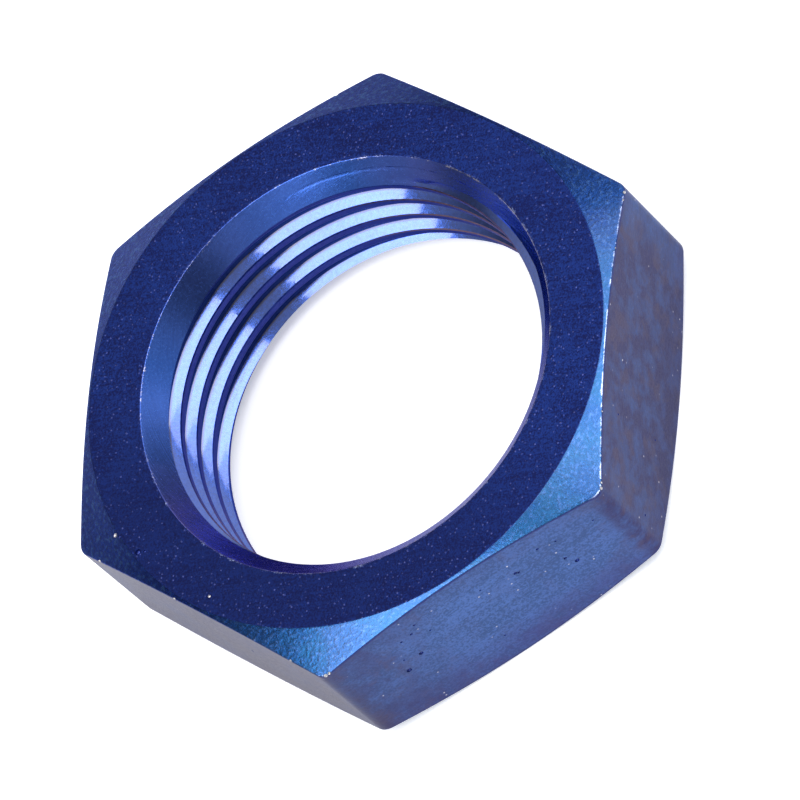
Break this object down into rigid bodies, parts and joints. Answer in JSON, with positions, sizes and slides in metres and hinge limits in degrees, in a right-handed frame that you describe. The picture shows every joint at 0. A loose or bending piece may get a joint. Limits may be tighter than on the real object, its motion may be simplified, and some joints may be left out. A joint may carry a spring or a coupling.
{
  "type": "hex lock nut",
  "caption": "Thin hexagonal lock nut with both faces turned, coned corners and a countersunk fine-threaded hole.",
  "frame": {"origin": "centre of the lower face, on the thread's axis", "axes": "+Z along the thread's axis through the upper face, +X square to one flat, +Y towards a corner"},
  "size_m": [0.0254, 0.0292, 0.008],
  "materials": {
    "blue_anodised": "blue anodised, satin, machined"
  },
  "bodies": {
    "root": {"lock_nut": "blue_anodised"}
  },
  "joints": []
}
